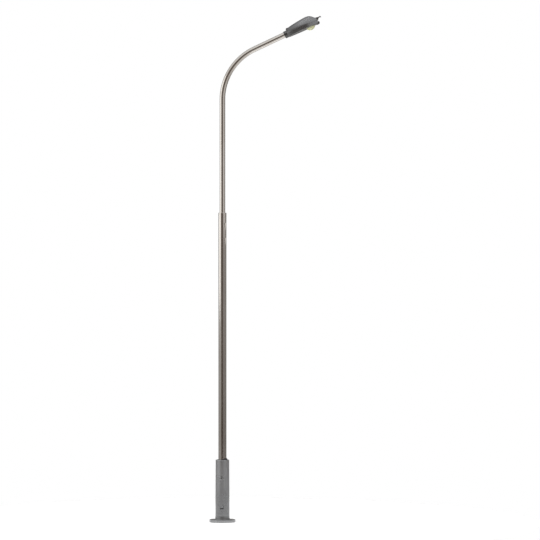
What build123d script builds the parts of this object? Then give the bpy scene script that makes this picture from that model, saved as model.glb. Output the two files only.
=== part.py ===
from build123d import *
import os
from math import cos, radians, sin, sqrt

# Street lamp post: a round foot flange and a cast pedestal carry a stepped tubular column whose upper
# tube bends over into a rising arm. The arm ends in a luminaire with a hinged canopy and a lens dome.
# Millimetres. Origin on the column's axis at the underside of the foot. +Z is up, the arm reaches out
# along +X, and the pedestal's access door faces -Y.

# ---------------------------------------------------------------- driving dimensions
FLANGE_RADIUS = 205.0
FLANGE_THICKNESS = 40.0
FLANGE_BORE_RADIUS = 70.0
FOOT_BOLT_CIRCLE_RADIUS = 165.0
FOOT_BOLT_HOLE_RADIUS = 14.0

PEDESTAL_TOP = 984.0
PEDESTAL_TOP_RADIUS = 106.5
PEDESTAL_FOOT_RADIUS = 112.4
PEDESTAL_FLARE_RADIUS = 119.0
PEDESTAL_FLARE_TOP = 118.0
PEDESTAL_WALL = 8.0
SHOULDER_HEIGHT = 50.0

DOOR_BOTTOM = 258.0
DOOR_TOP = 734.0
DOOR_WIDTH = 117.0
DOOR_GAP = 1.6
DOOR_THICKNESS = 5.0
DOOR_CORNER = 15.0
FRAME_THICKNESS = 5.0
FRAME_OPENING_WIDTH = 104.0
FRAME_OPENING_BOTTOM = 272.0
FRAME_OPENING_TOP = 720.0
FRAME_BOTTOM = 238.0
FRAME_TOP = 754.0
FRAME_WIDTH = 146.0
HINGE_HEIGHT = 247.0
HINGE_STANDOFF = 7.0
LOCK_HEIGHT = 699.0
VENT_HEIGHT = 217.0
DOOR_PANEL_HALF_WIDTH = 32.0
DOOR_PANEL_BOTTOM = 276.0
DOOR_PANEL_TOP = 680.0

LOWER_TUBE_RADIUS = 63.5
LOWER_TUBE_WALL = 5.0
LOWER_TUBE_BOTTOM = 765.0
LOWER_TUBE_TOP = 4848.0
UPPER_TUBE_RADIUS = 44.45
UPPER_TUBE_WALL = 4.0
UPPER_TUBE_BOTTOM = 4325.0
COLLAR_HEIGHT = 36.0

BEND_START = 6675.0
BEND_RADIUS = 870.0
BEND_ANGLE = 65.0
ARM_STRAIGHT = 528.0
ARM_IN_SOCKET = 130.0

DIMPLE_HEADING = -40.0
DIMPLE_TOPS = (4722.0, 4490.0)
DIMPLE_LENGTH = 128.0
DIMPLE_DEPTH = 13.8
DIMPLE_PUNCH_RADIUS = 45.0

SLIP = 0.3
CABLE_RADIUS = 6.0

HEAD_WALL = 5.0
CANOPY_WALL = 4.0
SEAM = -12.0
RIM = -14.0
TRAY_FLOOR = -49.0
COLLAR_RADIUS = 53.0
SOCKET_BORE = 45.0
REAR_BLOCK = 52.0
REAR_BLOCK_END = 74.0
CANOPY_REAR = 76.0
NOSE = 566.0
CANOPY_HINGE = (70.0, 78.0)
LATCH_PIVOT = (590.0, 22.0)
LENS_U = 430.0
LENS_RADIUS = 71.5
LENS_TIP = -113.0

# The luminaire's plan is two round flanks that meet at its widest place.
WIDEST = 345.0
HALF_WIDTH = 130.0
REAR_FLANK_RADIUS = 632.0
FRONT_FLANK_RADIUS = 302.0

# The crown's line seen from the side: distance from the socket's mouth, height above the arm's axis.
CROWN = [(CANOPY_REAR, 76.0), (150.0, 90.0), (240.0, 102.0), (340.0, 111.5), (416.0, 115.0),
         (462.0, 109.0), (490.0, 96.5), (518.0, 74.0), (543.0, 50.0), (NOSE, 37.0)]
CROWN_STATIONS = 16

# ---------------------------------------------------------------- derived places
slope = radians(90.0 - BEND_ANGLE)
arc_end_x = BEND_RADIUS * (1 - cos(radians(BEND_ANGLE)))
arc_end_z = BEND_START + BEND_RADIUS * sin(radians(BEND_ANGLE))
HEAD = Plane(
    origin=(arc_end_x + ARM_STRAIGHT * cos(slope), 0, arc_end_z + ARM_STRAIGHT * sin(slope)),
    x_dir=(cos(slope), 0, sin(slope)),
    z_dir=(-sin(slope), 0, cos(slope)),
)
HEAD_SIDE = Plane(origin=HEAD.origin, x_dir=HEAD.x_dir, z_dir=(0, -1, 0))
DOOR_MIDDLE = (DOOR_BOTTOM + DOOR_TOP) / 2
DOOR_HEIGHT = DOOR_TOP - DOOR_BOTTOM
FRAME_MIDDLE = (FRAME_OPENING_BOTTOM + FRAME_OPENING_TOP) / 2
FRAME_OPENING_HEIGHT = FRAME_OPENING_TOP - FRAME_OPENING_BOTTOM


def head_section(u):
    """The plane across the luminaire at distance u from the socket's mouth: x is sideways, y is up."""
    origin = HEAD.from_local_coords(Vector(u, 0, 0))
    return Plane(origin=origin, x_dir=(0, 1, 0), z_dir=HEAD.x_dir)


def head_at(u, w, v):
    """The luminaire's plane moved to a local point: u along the arm, w sideways, v up."""
    return Plane(
        origin=HEAD.from_local_coords(Vector(u, w, v)), x_dir=HEAD.x_dir, z_dir=HEAD.z_dir
    )


def pedestal_radius(z):
    """Outer radius of the pedestal's cone at height z."""
    share = (z - PEDESTAL_FLARE_TOP) / (PEDESTAL_TOP - PEDESTAL_FLARE_TOP)
    return PEDESTAL_FOOT_RADIUS + share * (PEDESTAL_TOP_RADIUS - PEDESTAL_FOOT_RADIUS)


def cone_shell(bottom, top, outer_depth, inner_depth):
    """A ring that follows the pedestal's cone, between two depths below its outer face."""
    with BuildSketch(Plane.XZ) as profile:
        with BuildLine():
            Polyline(
                (pedestal_radius(bottom) - outer_depth, bottom),
                (pedestal_radius(top) - outer_depth, top),
                (pedestal_radius(top) - inner_depth, top),
                (pedestal_radius(bottom) - inner_depth, bottom),
                close=True,
            )
        make_face()
    revolve(profile.sketch, axis=Axis.Z)


def ring(inner, outer, height, plane):
    """A plain ring of that height, standing on a plane."""
    with BuildSketch(plane) as section:
        Circle(outer)
        Circle(inner, mode=Mode.SUBTRACT)
    extrude(section.sketch, amount=height)


def round_bar(plane, radius, height, mode=Mode.ADD):
    """A straight round bar, or with Mode.SUBTRACT a round hole, standing on a plane."""
    with BuildSketch(plane) as section:
        Circle(radius)
    extrude(section.sketch, amount=height, mode=mode)


def slab(points, inner, outer, mode=Mode.ADD):
    """A plate cut to a side profile of the luminaire, between two distances to one side."""
    with BuildSketch(HEAD_SIDE.offset(inner)) as profile:
        with BuildLine():
            Polyline(*points, close=True)
        make_face()
    extrude(profile.sketch, amount=outer - inner, mode=mode)


def cross_bar(centre, radius, inner, outer, mode=Mode.ADD):
    """A round bar or hole across the luminaire, between two distances to one side."""
    with BuildSketch(HEAD_SIDE.offset(inner)) as section:
        with Locations(centre):
            Circle(radius)
    extrude(section.sketch, amount=outer - inner, mode=mode)


def heading(angle):
    """The unit vector at an angle round the column, from +X towards +Y."""
    return Vector(cos(radians(angle)), sin(radians(angle)), 0)


# ---------------------------------------------------------------- foot and pedestal
with BuildPart() as base_flange:
    Cylinder(FLANGE_RADIUS, FLANGE_THICKNESS, align=(Align.CENTER, Align.CENTER, Align.MIN))
    fillet(base_flange.edges().group_by(Axis.Z)[-1], radius=6)
    chamfer(base_flange.edges().group_by(Axis.Z)[0], length=2)
    Hole(FLANGE_BORE_RADIUS)
    with PolarLocations(FOOT_BOLT_CIRCLE_RADIUS, 4, start_angle=45):
        Hole(FOOT_BOLT_HOLE_RADIUS)

NECK_BORE = LOWER_TUBE_RADIUS + 0.7
SCREW_HEIGHT = 951.0
SCREW_HEADINGS = [-49.0 + 90.0 * k for k in range(4)]
SCREW_RADIUS = 6.0
hinge_y = -(pedestal_radius(HINGE_HEIGHT) + HINGE_STANDOFF)
HINGE_BARREL = 6.0
HINGE_PIN_RADIUS = 3.0
HINGE_KNUCKLE_HALF = 28.0
HINGE_LUG_END = 42.0
with BuildPart() as pedestal:
    shoulder_bottom = PEDESTAL_TOP - SHOULDER_HEIGHT
    with BuildSketch(Plane.XZ):
        with BuildLine():
            wall = Polyline(
                (PEDESTAL_FOOT_RADIUS, PEDESTAL_FLARE_TOP),
                (PEDESTAL_TOP_RADIUS, PEDESTAL_TOP),
                (NECK_BORE, PEDESTAL_TOP),
                (NECK_BORE, shoulder_bottom),
                (pedestal_radius(shoulder_bottom) - PEDESTAL_WALL, shoulder_bottom),
                (PEDESTAL_FOOT_RADIUS - PEDESTAL_WALL, PEDESTAL_FLARE_TOP),
                (PEDESTAL_FOOT_RADIUS - PEDESTAL_WALL, FLANGE_THICKNESS),
                (PEDESTAL_FLARE_RADIUS, FLANGE_THICKNESS),
            )
            ThreePointArc(wall @ 1, (113.6, 72.0), wall @ 0)
        make_face()
    revolve(axis=Axis.Z)
    top_circles = pedestal.edges().filter_by(GeomType.CIRCLE).group_by(Axis.Z)[-1]
    fillet(top_circles.sort_by(SortBy.RADIUS)[-1], radius=9)
    # Door opening and vent slot through the front wall.
    with BuildSketch(Plane.XZ):
        with Locations((0, DOOR_MIDDLE)):
            RectangleRounded(DOOR_WIDTH + 2 * DOOR_GAP, DOOR_HEIGHT + 2 * DOOR_GAP, DOOR_CORNER)
        with Locations((0, VENT_HEIGHT)):
            SlotOverall(62, 15)
    extrude(amount=150, mode=Mode.SUBTRACT)
    # Cast lugs for the door's hinge pin.
    lug_root = -pedestal_radius(HINGE_HEIGHT) + 10.5
    for start in (HINGE_KNUCKLE_HALF + 0.5, -HINGE_LUG_END):
        with BuildSketch(Plane.YZ.offset(start)):
            with BuildLine():
                Polyline(
                    (hinge_y, HINGE_HEIGHT + HINGE_BARREL),
                    (hinge_y, HINGE_HEIGHT - HINGE_BARREL),
                    (lug_root, HINGE_HEIGHT - 13),
                    (lug_root, HINGE_HEIGHT + HINGE_BARREL),
                    close=True,
                )
            make_face()
            with Locations((hinge_y, HINGE_HEIGHT)):
                Circle(HINGE_BARREL)
                Circle(HINGE_PIN_RADIUS + 0.1, mode=Mode.SUBTRACT)
        extrude(amount=HINGE_LUG_END - HINGE_KNUCKLE_HALF - 0.5)
    # Radial threaded holes that take the neck's set screws.
    for angle in SCREW_HEADINGS:
        start = heading(angle) * 50 + Vector(0, 0, SCREW_HEIGHT)
        round_bar(Plane(origin=start, z_dir=heading(angle)), SCREW_RADIUS + 0.15, 80, Mode.SUBTRACT)

SCREW_OUTER_END = 103.0
with BuildPart() as neck_set_screws:
    for angle in SCREW_HEADINGS:
        tip = heading(angle) * (LOWER_TUBE_RADIUS + 0.15) + Vector(0, 0, SCREW_HEIGHT)
        end = heading(angle) * SCREW_OUTER_END + Vector(0, 0, SCREW_HEIGHT)
        length = SCREW_OUTER_END - 0.15 - LOWER_TUBE_RADIUS
        round_bar(Plane(origin=tip, z_dir=heading(angle)), SCREW_RADIUS, length)
        with BuildSketch(Plane(origin=end, z_dir=heading(angle))):
            RegularPolygon(radius=3.4, side_count=6)
        extrude(amount=-8, mode=Mode.SUBTRACT)

SEAL_FOOT_RADIUS = 81.0
SEAL_LIP_RADIUS = 68.0
SEAL_LOW_SIDE = 3.0
SEAL_HEIGHT = 24.0
with BuildPart() as neck_seal:
    with BuildSketch(Plane.XZ):
        with BuildLine():
            Polyline(
                (LOWER_TUBE_RADIUS + 0.2, PEDESTAL_TOP + 0.1),
                (SEAL_FOOT_RADIUS, PEDESTAL_TOP + 0.1),
                (SEAL_FOOT_RADIUS, PEDESTAL_TOP + 8),
                (SEAL_LIP_RADIUS, PEDESTAL_TOP + SEAL_HEIGHT),
                (LOWER_TUBE_RADIUS + 0.2, PEDESTAL_TOP + SEAL_HEIGHT),
                close=True,
            )
        make_face()
    revolve(axis=Axis.Z)
    # The bead is trimmed low on the side away from the arm.
    with BuildSketch(Plane.XZ.offset(-SEAL_FOOT_RADIUS)):
        with BuildLine():
            Polyline(
                (-SEAL_FOOT_RADIUS - 1, PEDESTAL_TOP + SEAL_LOW_SIDE),
                (4, PEDESTAL_TOP + SEAL_LOW_SIDE),
                (42, PEDESTAL_TOP + SEAL_HEIGHT),
                (42, PEDESTAL_TOP + SEAL_HEIGHT + 1),
                (-SEAL_FOOT_RADIUS - 1, PEDESTAL_TOP + SEAL_HEIGHT + 1),
                close=True,
            )
        make_face()
    extrude(amount=2 * SEAL_FOOT_RADIUS, mode=Mode.SUBTRACT)

CENTRING_RING_BOTTOM = 772.0
CENTRING_RING_HEIGHT = 20.0
with BuildPart() as tube_centring_ring:
    ring(
        LOWER_TUBE_RADIUS + SLIP,
        pedestal_radius(CENTRING_RING_BOTTOM + CENTRING_RING_HEIGHT) - PEDESTAL_WALL - SLIP,
        CENTRING_RING_HEIGHT,
        Plane.XY.offset(CENTRING_RING_BOTTOM),
    )
    with PolarLocations(82, 4, start_angle=45):
        Hole(8)

# ---------------------------------------------------------------- access door
with BuildPart() as door_frame:
    frame_depth = PEDESTAL_WALL + 0.15
    cone_shell(FRAME_BOTTOM, FRAME_TOP, frame_depth, frame_depth + FRAME_THICKNESS)
    with BuildSketch(Plane.XZ):
        with Locations((0, (FRAME_BOTTOM + FRAME_TOP) / 2)):
            RectangleRounded(FRAME_WIDTH, FRAME_TOP - FRAME_BOTTOM - 2, 18)
    extrude(amount=150, mode=Mode.INTERSECT)
    with BuildSketch(Plane.XZ):
        with Locations((0, FRAME_MIDDLE)):
            RectangleRounded(FRAME_OPENING_WIDTH, FRAME_OPENING_HEIGHT, 10)
    extrude(amount=150, mode=Mode.SUBTRACT)

LOCK_PLATE = (52.0, 34.0)
LOCK_PLATE_BACK = pedestal_radius(LOCK_HEIGHT) - 2.9
LOCK_PLATE_FRONT = pedestal_radius(LOCK_HEIGHT) + 4.0
LOCK_BARREL_RADIUS = 10.0
with BuildPart() as door:
    cone_shell(DOOR_BOTTOM - 8, DOOR_TOP + 8, 0, DOOR_THICKNESS)
    with BuildSketch(Plane.XZ):
        with Locations((0, DOOR_MIDDLE)):
            RectangleRounded(DOOR_WIDTH, DOOR_HEIGHT, DOOR_CORNER - DOOR_GAP)
    extrude(amount=150, mode=Mode.INTERSECT)
    # Flat pressed panel up the door's middle, with a sloping sill, and the pad that backs it.
    low = -sqrt(pedestal_radius(DOOR_PANEL_BOTTOM) ** 2 - DOOR_PANEL_HALF_WIDTH**2)
    high = -sqrt(pedestal_radius(DOOR_PANEL_TOP) ** 2 - DOOR_PANEL_HALF_WIDTH**2)
    with BuildSketch(Plane.YZ.offset(-DOOR_PANEL_HALF_WIDTH - 4)):
        with BuildLine():
            Polyline((low - 1, DOOR_PANEL_BOTTOM), (high - 1, DOOR_PANEL_TOP), (high + 5, DOOR_PANEL_TOP),
                     (low + 5, DOOR_PANEL_BOTTOM), close=True)
        make_face()
    extrude(amount=2 * DOOR_PANEL_HALF_WIDTH + 8)
    with BuildSketch(Plane.YZ.offset(-DOOR_PANEL_HALF_WIDTH)):
        with BuildLine():
            Polyline((low - 15, DOOR_PANEL_BOTTOM - 15), (low, DOOR_PANEL_BOTTOM), (high, DOOR_PANEL_TOP),
                     (high - 15, DOOR_PANEL_TOP), close=True)
        make_face()
    extrude(amount=2 * DOOR_PANEL_HALF_WIDTH, mode=Mode.SUBTRACT)
    # Middle knuckle of the hinge, and its strap up the door's face.
    with BuildSketch(Plane.YZ.offset(-HINGE_KNUCKLE_HALF)):
        with BuildLine():
            face = -pedestal_radius(DOOR_BOTTOM)
            Polyline(
                (hinge_y - 2.5, HINGE_HEIGHT),
                (hinge_y - 2.5, 260),
                (hinge_y + 3.0, 266),
                (face + 4.5, 266),
                (face + 4.5, DOOR_BOTTOM + 3),
                (face - 1.2, DOOR_BOTTOM + 1),
                (face - 1.2, HINGE_HEIGHT),
                close=True,
            )
        make_face()
        with Locations((hinge_y, HINGE_HEIGHT)):
            Circle(HINGE_BARREL)
            Circle(HINGE_PIN_RADIUS + 0.2, mode=Mode.SUBTRACT)
    extrude(amount=2 * HINGE_KNUCKLE_HALF)
    # Pocket for the lock plate and the hole for its barrel.
    with BuildSketch(Plane.XZ.offset(LOCK_PLATE_BACK - 0.1)):
        with Locations((0, LOCK_HEIGHT)):
            RectangleRounded(LOCK_PLATE[0] + 0.6, LOCK_PLATE[1] + 0.6, 6.3)
    extrude(amount=30, mode=Mode.SUBTRACT)
    with BuildSketch(Plane.XZ):
        with Locations((0, LOCK_HEIGHT)):
            Circle(LOCK_BARREL_RADIUS + 0.6)
    extrude(amount=150, mode=Mode.SUBTRACT)

with BuildPart() as door_gasket:
    cone_shell(DOOR_BOTTOM - 8, DOOR_TOP + 8, DOOR_THICKNESS + 0.05, PEDESTAL_WALL + 0.02)
    with BuildSketch(Plane.XZ):
        with Locations((0, FRAME_MIDDLE)):
            RectangleRounded(DOOR_WIDTH - 3, FRAME_OPENING_HEIGHT + 20, 12)
            RectangleRounded(FRAME_OPENING_WIDTH, FRAME_OPENING_HEIGHT + 6, 8, mode=Mode.SUBTRACT)
    extrude(amount=150, mode=Mode.INTERSECT)

with BuildPart() as door_hinge_pin:
    pin_end = HINGE_LUG_END + 0.2
    with BuildSketch(Plane.YZ.offset(-pin_end)):
        with Locations((hinge_y, HINGE_HEIGHT)):
            Circle(HINGE_PIN_RADIUS)
    extrude(amount=2 * pin_end)
    for end, way in ((-pin_end, -1), (pin_end, 1)):
        with BuildSketch(Plane.YZ.offset(end)):
            with Locations((hinge_y, HINGE_HEIGHT)):
                Circle(HINGE_PIN_RADIUS + 1.5)
        extrude(amount=way * 2.5)

with BuildPart() as lock_plate:
    with BuildSketch(Plane.XZ.offset(LOCK_PLATE_BACK)):
        with Locations((0, LOCK_HEIGHT)):
            RectangleRounded(*LOCK_PLATE, 6)
            Circle(LOCK_BARREL_RADIUS + 0.2, mode=Mode.SUBTRACT)
    extrude(amount=LOCK_PLATE_FRONT - LOCK_PLATE_BACK)
    chamfer(lock_plate.faces().sort_by(Axis.Y)[0].outer_wire().edges(), length=1.5)

# The lock's cam turns up behind a flat keeper plate, so it never meets the curved frame.
CAM_FRONT = 89.3
CAM_THICKNESS = 4.0
CAM_WIDTH = 18.0
CAM_REACH = 20.0
CAM_HEEL = 8.0
KEEPER_PLATE_FRONT = 92.6
KEEPER_PLATE_BOTTOM = LOCK_HEIGHT + 12.0
KEEPER_PLATE_TOP = 745.0
with BuildPart() as lock_keeper:
    with BuildSketch(Plane.XZ.offset(CAM_FRONT + 0.3)):
        with Locations((0, (KEEPER_PLATE_BOTTOM + KEEPER_PLATE_TOP) / 2)):
            RectangleRounded(40, KEEPER_PLATE_TOP - KEEPER_PLATE_BOTTOM, 3)
    extrude(amount=KEEPER_PLATE_FRONT - CAM_FRONT - 0.3)

with BuildPart() as lock_barrel:
    with BuildSketch(Plane.XZ.offset(CAM_FRONT)):
        with Locations((0, LOCK_HEIGHT)):
            Circle(LOCK_BARREL_RADIUS)
    extrude(amount=LOCK_PLATE_FRONT - CAM_FRONT + 0.4)
    with BuildSketch(Plane.XZ.offset(LOCK_PLATE_FRONT + 0.4)):
        with Locations((0, LOCK_HEIGHT)):
            Circle(LOCK_BARREL_RADIUS + 2.5)
    extrude(amount=2.2)
    fillet(lock_barrel.edges().sort_by(Axis.Y)[0], radius=1)
    with BuildSketch(Plane.XZ.offset(LOCK_PLATE_FRONT + 2.6)):
        with Locations((0, LOCK_HEIGHT)):
            Circle(8.0)
            RegularPolygon(radius=5.6, side_count=3, rotation=90, mode=Mode.SUBTRACT)
    extrude(amount=-9, mode=Mode.SUBTRACT)
    # Square tail that drives the cam.
    with BuildSketch(Plane.XZ.offset(CAM_FRONT - CAM_THICKNESS - 0.2)):
        with Locations((0, LOCK_HEIGHT)):
            Rectangle(9, 9)
    extrude(amount=CAM_THICKNESS + 0.2)

with BuildPart() as lock_cam:
    with BuildSketch(Plane.XZ.offset(CAM_FRONT - CAM_THICKNESS)):
        with Locations(((CAM_REACH - CAM_HEEL) / 2, LOCK_HEIGHT)):
            SlotOverall(CAM_REACH + CAM_HEEL, CAM_WIDTH)
        with Locations((0, LOCK_HEIGHT)):
            Rectangle(9.4, 9.4, mode=Mode.SUBTRACT)
    extrude(amount=CAM_THICKNESS - 0.1)

with BuildPart() as cam_screw:
    with BuildSketch(Plane.XZ.offset(CAM_FRONT - CAM_THICKNESS - 0.4)):
        with Locations((0, LOCK_HEIGHT)):
            RegularPolygon(radius=7.5, side_count=6)
    extrude(amount=-2.8)

with BuildPart() as vent_insert:
    with BuildSketch(Plane.XZ.offset(97)):
        with Locations((0, VENT_HEIGHT)):
            SlotOverall(61.4, 14.4)
            with GridLocations(0, 5, 1, 2):
                Rectangle(44, 2.2, mode=Mode.SUBTRACT)
    extrude(amount=10.5)

# ---------------------------------------------------------------- column
with BuildPart() as lower_tube:
    bore = LOWER_TUBE_RADIUS - LOWER_TUBE_WALL
    length = LOWER_TUBE_TOP - LOWER_TUBE_BOTTOM
    ring(bore, LOWER_TUBE_RADIUS, length, Plane.XY.offset(LOWER_TUBE_BOTTOM))
    # Each dimple is punched by an oblique cone. The wall behind it keeps the tube's thickness.
    for wall, mode in ((LOWER_TUBE_WALL, Mode.ADD), (0.0, Mode.SUBTRACT)):
        for top in DIMPLE_TOPS:
            deep = DIMPLE_PUNCH_RADIUS + LOWER_TUBE_RADIUS - DIMPLE_DEPTH
            for z, centre, radius in (
                (top + wall, deep, DIMPLE_PUNCH_RADIUS + wall),
                (top - DIMPLE_LENGTH, LOWER_TUBE_RADIUS + 1.5, 1.0 + wall),
            ):
                with BuildSketch(Plane.XY.offset(z)):
                    with Locations(heading(DIMPLE_HEADING) * centre):
                        Circle(radius)
            loft(mode=mode)
        if mode is Mode.ADD:
            with BuildSketch(Plane.XY.offset(LOWER_TUBE_BOTTOM)):
                Circle(LOWER_TUBE_RADIUS)
            extrude(amount=length, mode=Mode.INTERSECT)

with BuildPart() as reducing_collar:
    with BuildSketch(Plane.XZ):
        with BuildLine():
            Polyline(
                (UPPER_TUBE_RADIUS + SLIP, LOWER_TUBE_TOP - 60),
                (LOWER_TUBE_RADIUS - LOWER_TUBE_WALL - 0.2, LOWER_TUBE_TOP - 60),
                (LOWER_TUBE_RADIUS - LOWER_TUBE_WALL - 0.2, LOWER_TUBE_TOP + 0.1),
                (LOWER_TUBE_RADIUS, LOWER_TUBE_TOP + 0.1),
                (LOWER_TUBE_RADIUS, LOWER_TUBE_TOP + COLLAR_HEIGHT - 4),
                (LOWER_TUBE_RADIUS - 4, LOWER_TUBE_TOP + COLLAR_HEIGHT),
                (UPPER_TUBE_RADIUS + SLIP, LOWER_TUBE_TOP + COLLAR_HEIGHT),
                close=True,
            )
        make_face()
    revolve(axis=Axis.Z)

with BuildPart() as tube_rest_ring:
    ring(38, LOWER_TUBE_RADIUS - LOWER_TUBE_WALL - 0.2, 20, Plane.XY.offset(UPPER_TUBE_BOTTOM - 20.2))
    ring(
        UPPER_TUBE_RADIUS + SLIP,
        LOWER_TUBE_RADIUS - LOWER_TUBE_WALL - 0.2,
        34,
        Plane.XY.offset(UPPER_TUBE_BOTTOM - 0.2),
    )

with BuildPart() as upper_tube:
    with BuildLine(Plane.XZ) as arm_line:
        rise = Line((0, UPPER_TUBE_BOTTOM), (0, BEND_START))
        bend = JernArc(start=rise @ 1, tangent=rise % 1, radius=BEND_RADIUS, arc_size=-BEND_ANGLE)
        Line(bend @ 1, bend @ 1 + (bend % 1) * (ARM_STRAIGHT + ARM_IN_SOCKET - 0.5))
    with BuildSketch(Plane.XY.offset(UPPER_TUBE_BOTTOM)):
        Circle(UPPER_TUBE_RADIUS)
        Circle(UPPER_TUBE_RADIUS - UPPER_TUBE_WALL, mode=Mode.SUBTRACT)
    sweep(path=arm_line.wires()[0])

# ---------------------------------------------------------------- compartment inside the pedestal
BOARD_FRONT, BOARD_BACK = 62.0, 72.0
BOARD_BOTTOM, BOARD_TOP = 285.0, 715.0
BRACKET_HEIGHTS = (335.0, 665.0)
BOARD_SCREW_X = 12.0
with BuildPart() as backboard:
    with BuildSketch(Plane.XZ.offset(-BOARD_BACK)):
        with Locations((0, (BOARD_BOTTOM + BOARD_TOP) / 2)):
            RectangleRounded(126, BOARD_TOP - BOARD_BOTTOM, 6)
        for z in BRACKET_HEIGHTS:
            with Locations((-BOARD_SCREW_X, z), (BOARD_SCREW_X, z)):
                Circle(3.3, mode=Mode.SUBTRACT)
    extrude(amount=BOARD_BACK - BOARD_FRONT)

with BuildPart() as board_brackets:
    with BuildSketch(Plane.XZ):
        with BuildLine():
            Polyline(
                (0, 300),
                (pedestal_radius(300) - PEDESTAL_WALL - 0.2, 300),
                (pedestal_radius(700) - PEDESTAL_WALL - 0.2, 700),
                (0, 700),
                close=True,
            )
        make_face()
    revolve(axis=Axis.Z)
    with BuildSketch(Plane.XZ.offset(-BOARD_BACK - 0.1)):
        for z in BRACKET_HEIGHTS:
            with Locations((0, z)):
                Rectangle(44, 28)
                with Locations((-BOARD_SCREW_X, 0), (BOARD_SCREW_X, 0)):
                    Circle(3.1, mode=Mode.SUBTRACT)
    extrude(amount=-60, mode=Mode.INTERSECT)

with BuildPart() as board_screws:
    for z in BRACKET_HEIGHTS:
        for x in (-BOARD_SCREW_X, BOARD_SCREW_X):
            with BuildSketch(Plane.XZ.offset(-BOARD_BACK - 14)):
                with Locations((x, z)):
                    Circle(3.0)
            extrude(amount=BOARD_BACK + 14 - BOARD_FRONT + 0.1)
            with BuildSketch(Plane.XZ.offset(-BOARD_FRONT + 0.1)):
                with Locations((x, z)):
                    Circle(5.5)
            extrude(amount=3.5)

FUSE_Z = 525.0
with BuildPart() as cutout_body:
    with BuildSketch(Plane.XZ.offset(-BOARD_FRONT + 0.1)):
        with Locations((0, FUSE_Z)):
            RectangleRounded(68, 124, 5)
    extrude(amount=45)
    fillet(cutout_body.faces().sort_by(Axis.Y)[0].outer_wire().edges(), radius=2)
    with BuildSketch(Plane.XZ.offset(-BOARD_FRONT + 10)):
        with Locations((0, FUSE_Z)):
            RectangleRounded(41, 71, 3)
    extrude(amount=60, mode=Mode.SUBTRACT)

with BuildPart() as fuse_contacts:
    for z in (FUSE_Z - 20, FUSE_Z + 20):
        with BuildSketch(Plane.XY.offset(z - 5)):
            with BuildLine():
                Polyline((-8.9, 34), (-8.9, 51.8), (8.9, 51.8), (8.9, 34), (7.4, 34), (7.4, 50.2),
                         (-7.4, 50.2), (-7.4, 34), close=True)
            make_face()
        extrude(amount=10)

with BuildPart() as fuse_carrier:
    with BuildSketch(Plane.XZ.offset(-50)):
        with Locations((0, FUSE_Z)):
            RectangleRounded(40, 70, 2.6)
    extrude(amount=50 + 4)
    with BuildSketch(Plane.XZ.offset(-50)):
        with Locations((0, FUSE_Z)):
            Rectangle(19, 51)
    extrude(amount=22, mode=Mode.SUBTRACT)
    with BuildSketch(Plane.XZ.offset(4)):
        with Locations((0, FUSE_Z)):
            SlotOverall(46, 11, rotation=90)
    extrude(amount=11)
    fillet(fuse_carrier.faces().sort_by(Axis.Y)[0].edges(), radius=2)

with BuildPart() as cartridge_fuse:
    with BuildSketch(Plane.XY.offset(FUSE_Z - 25)):
        with Locations((0, 40)):
            Circle(7)
    extrude(amount=50)
    chamfer(cartridge_fuse.edges(), length=0.8)

TERMINAL_BOX_Z = 410.0
with BuildPart() as supply_terminal_box:
    with BuildSketch(Plane.XZ.offset(-BOARD_FRONT + 0.1)):
        with Locations((0, TERMINAL_BOX_Z)):
            RectangleRounded(76, 84, 6)
    extrude(amount=38)
    fillet(supply_terminal_box.faces().sort_by(Axis.Y)[0].outer_wire().edges(), radius=3)
    with BuildSketch(Plane.XY.offset(TERMINAL_BOX_Z - 50)):
        with Locations((-18, 42), (18, 42)):
            Circle(10)
    extrude(amount=26, mode=Mode.SUBTRACT)

EARTH_Z = 318.0
with BuildPart() as earth_terminal:
    with BuildSketch(Plane.XZ.offset(-BOARD_FRONT + 0.1)):
        with Locations((0, EARTH_Z)):
            Rectangle(64, 14)
    extrude(amount=3)
    for x in (-22, 0, 22):
        with BuildSketch(Plane.XZ.offset(-BOARD_FRONT + 3)):
            with Locations((x, EARTH_Z)):
                Circle(3.5)
        extrude(amount=17)
        with BuildSketch(Plane.XZ.offset(-BOARD_FRONT + 3)):
            with Locations((x, EARTH_Z)):
                RegularPolygon(radius=7.0, side_count=6)
        extrude(amount=6)

GLAND_BOTTOM = FUSE_Z + 62.2
with BuildPart() as cable_gland:
    with BuildSketch(Plane.XY.offset(GLAND_BOTTOM)):
        with Locations((0, 40)):
            RegularPolygon(radius=14, side_count=6)
    extrude(amount=9)
    with BuildSketch(Plane.XY.offset(GLAND_BOTTOM + 9)):
        with Locations((0, 40)):
            Circle(11)
    extrude(amount=13)
    fillet(cable_gland.edges().group_by(Axis.Z)[-1], radius=3)
    with BuildSketch(Plane.XY.offset(GLAND_BOTTOM)):
        with Locations((0, 40)):
            Circle(CABLE_RADIUS + 0.2)
    extrude(amount=30, mode=Mode.SUBTRACT)

# The cable climbs the middle of both tubes, from the fuse unit's gland to the luminaire's terminals.
TERMINAL_U = 165.0
with BuildPart() as column_cable:
    with BuildLine() as cable_line:
        start = Vector(0, 40, GLAND_BOTTOM + 1)
        lead = FilletPolyline(start, (0, 40, 680), (0, 0, 900), (0, 0, 1100), radius=400)
        Line(lead @ 1, (0, 0, BEND_START))
    with BuildLine(Plane.XZ) as cable_arm:
        turn = JernArc(start=(0, BEND_START), tangent=(0, 1), radius=BEND_RADIUS, arc_size=-BEND_ANGLE)
        Line(turn @ 1, turn @ 1 + (turn % 1) * (ARM_STRAIGHT + TERMINAL_U - 0.5))
    with BuildSketch(Plane(origin=start, z_dir=(0, 0, 1))):
        Circle(CABLE_RADIUS)
    sweep(path=Wire(cable_line.edges() + cable_arm.edges()))

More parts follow.
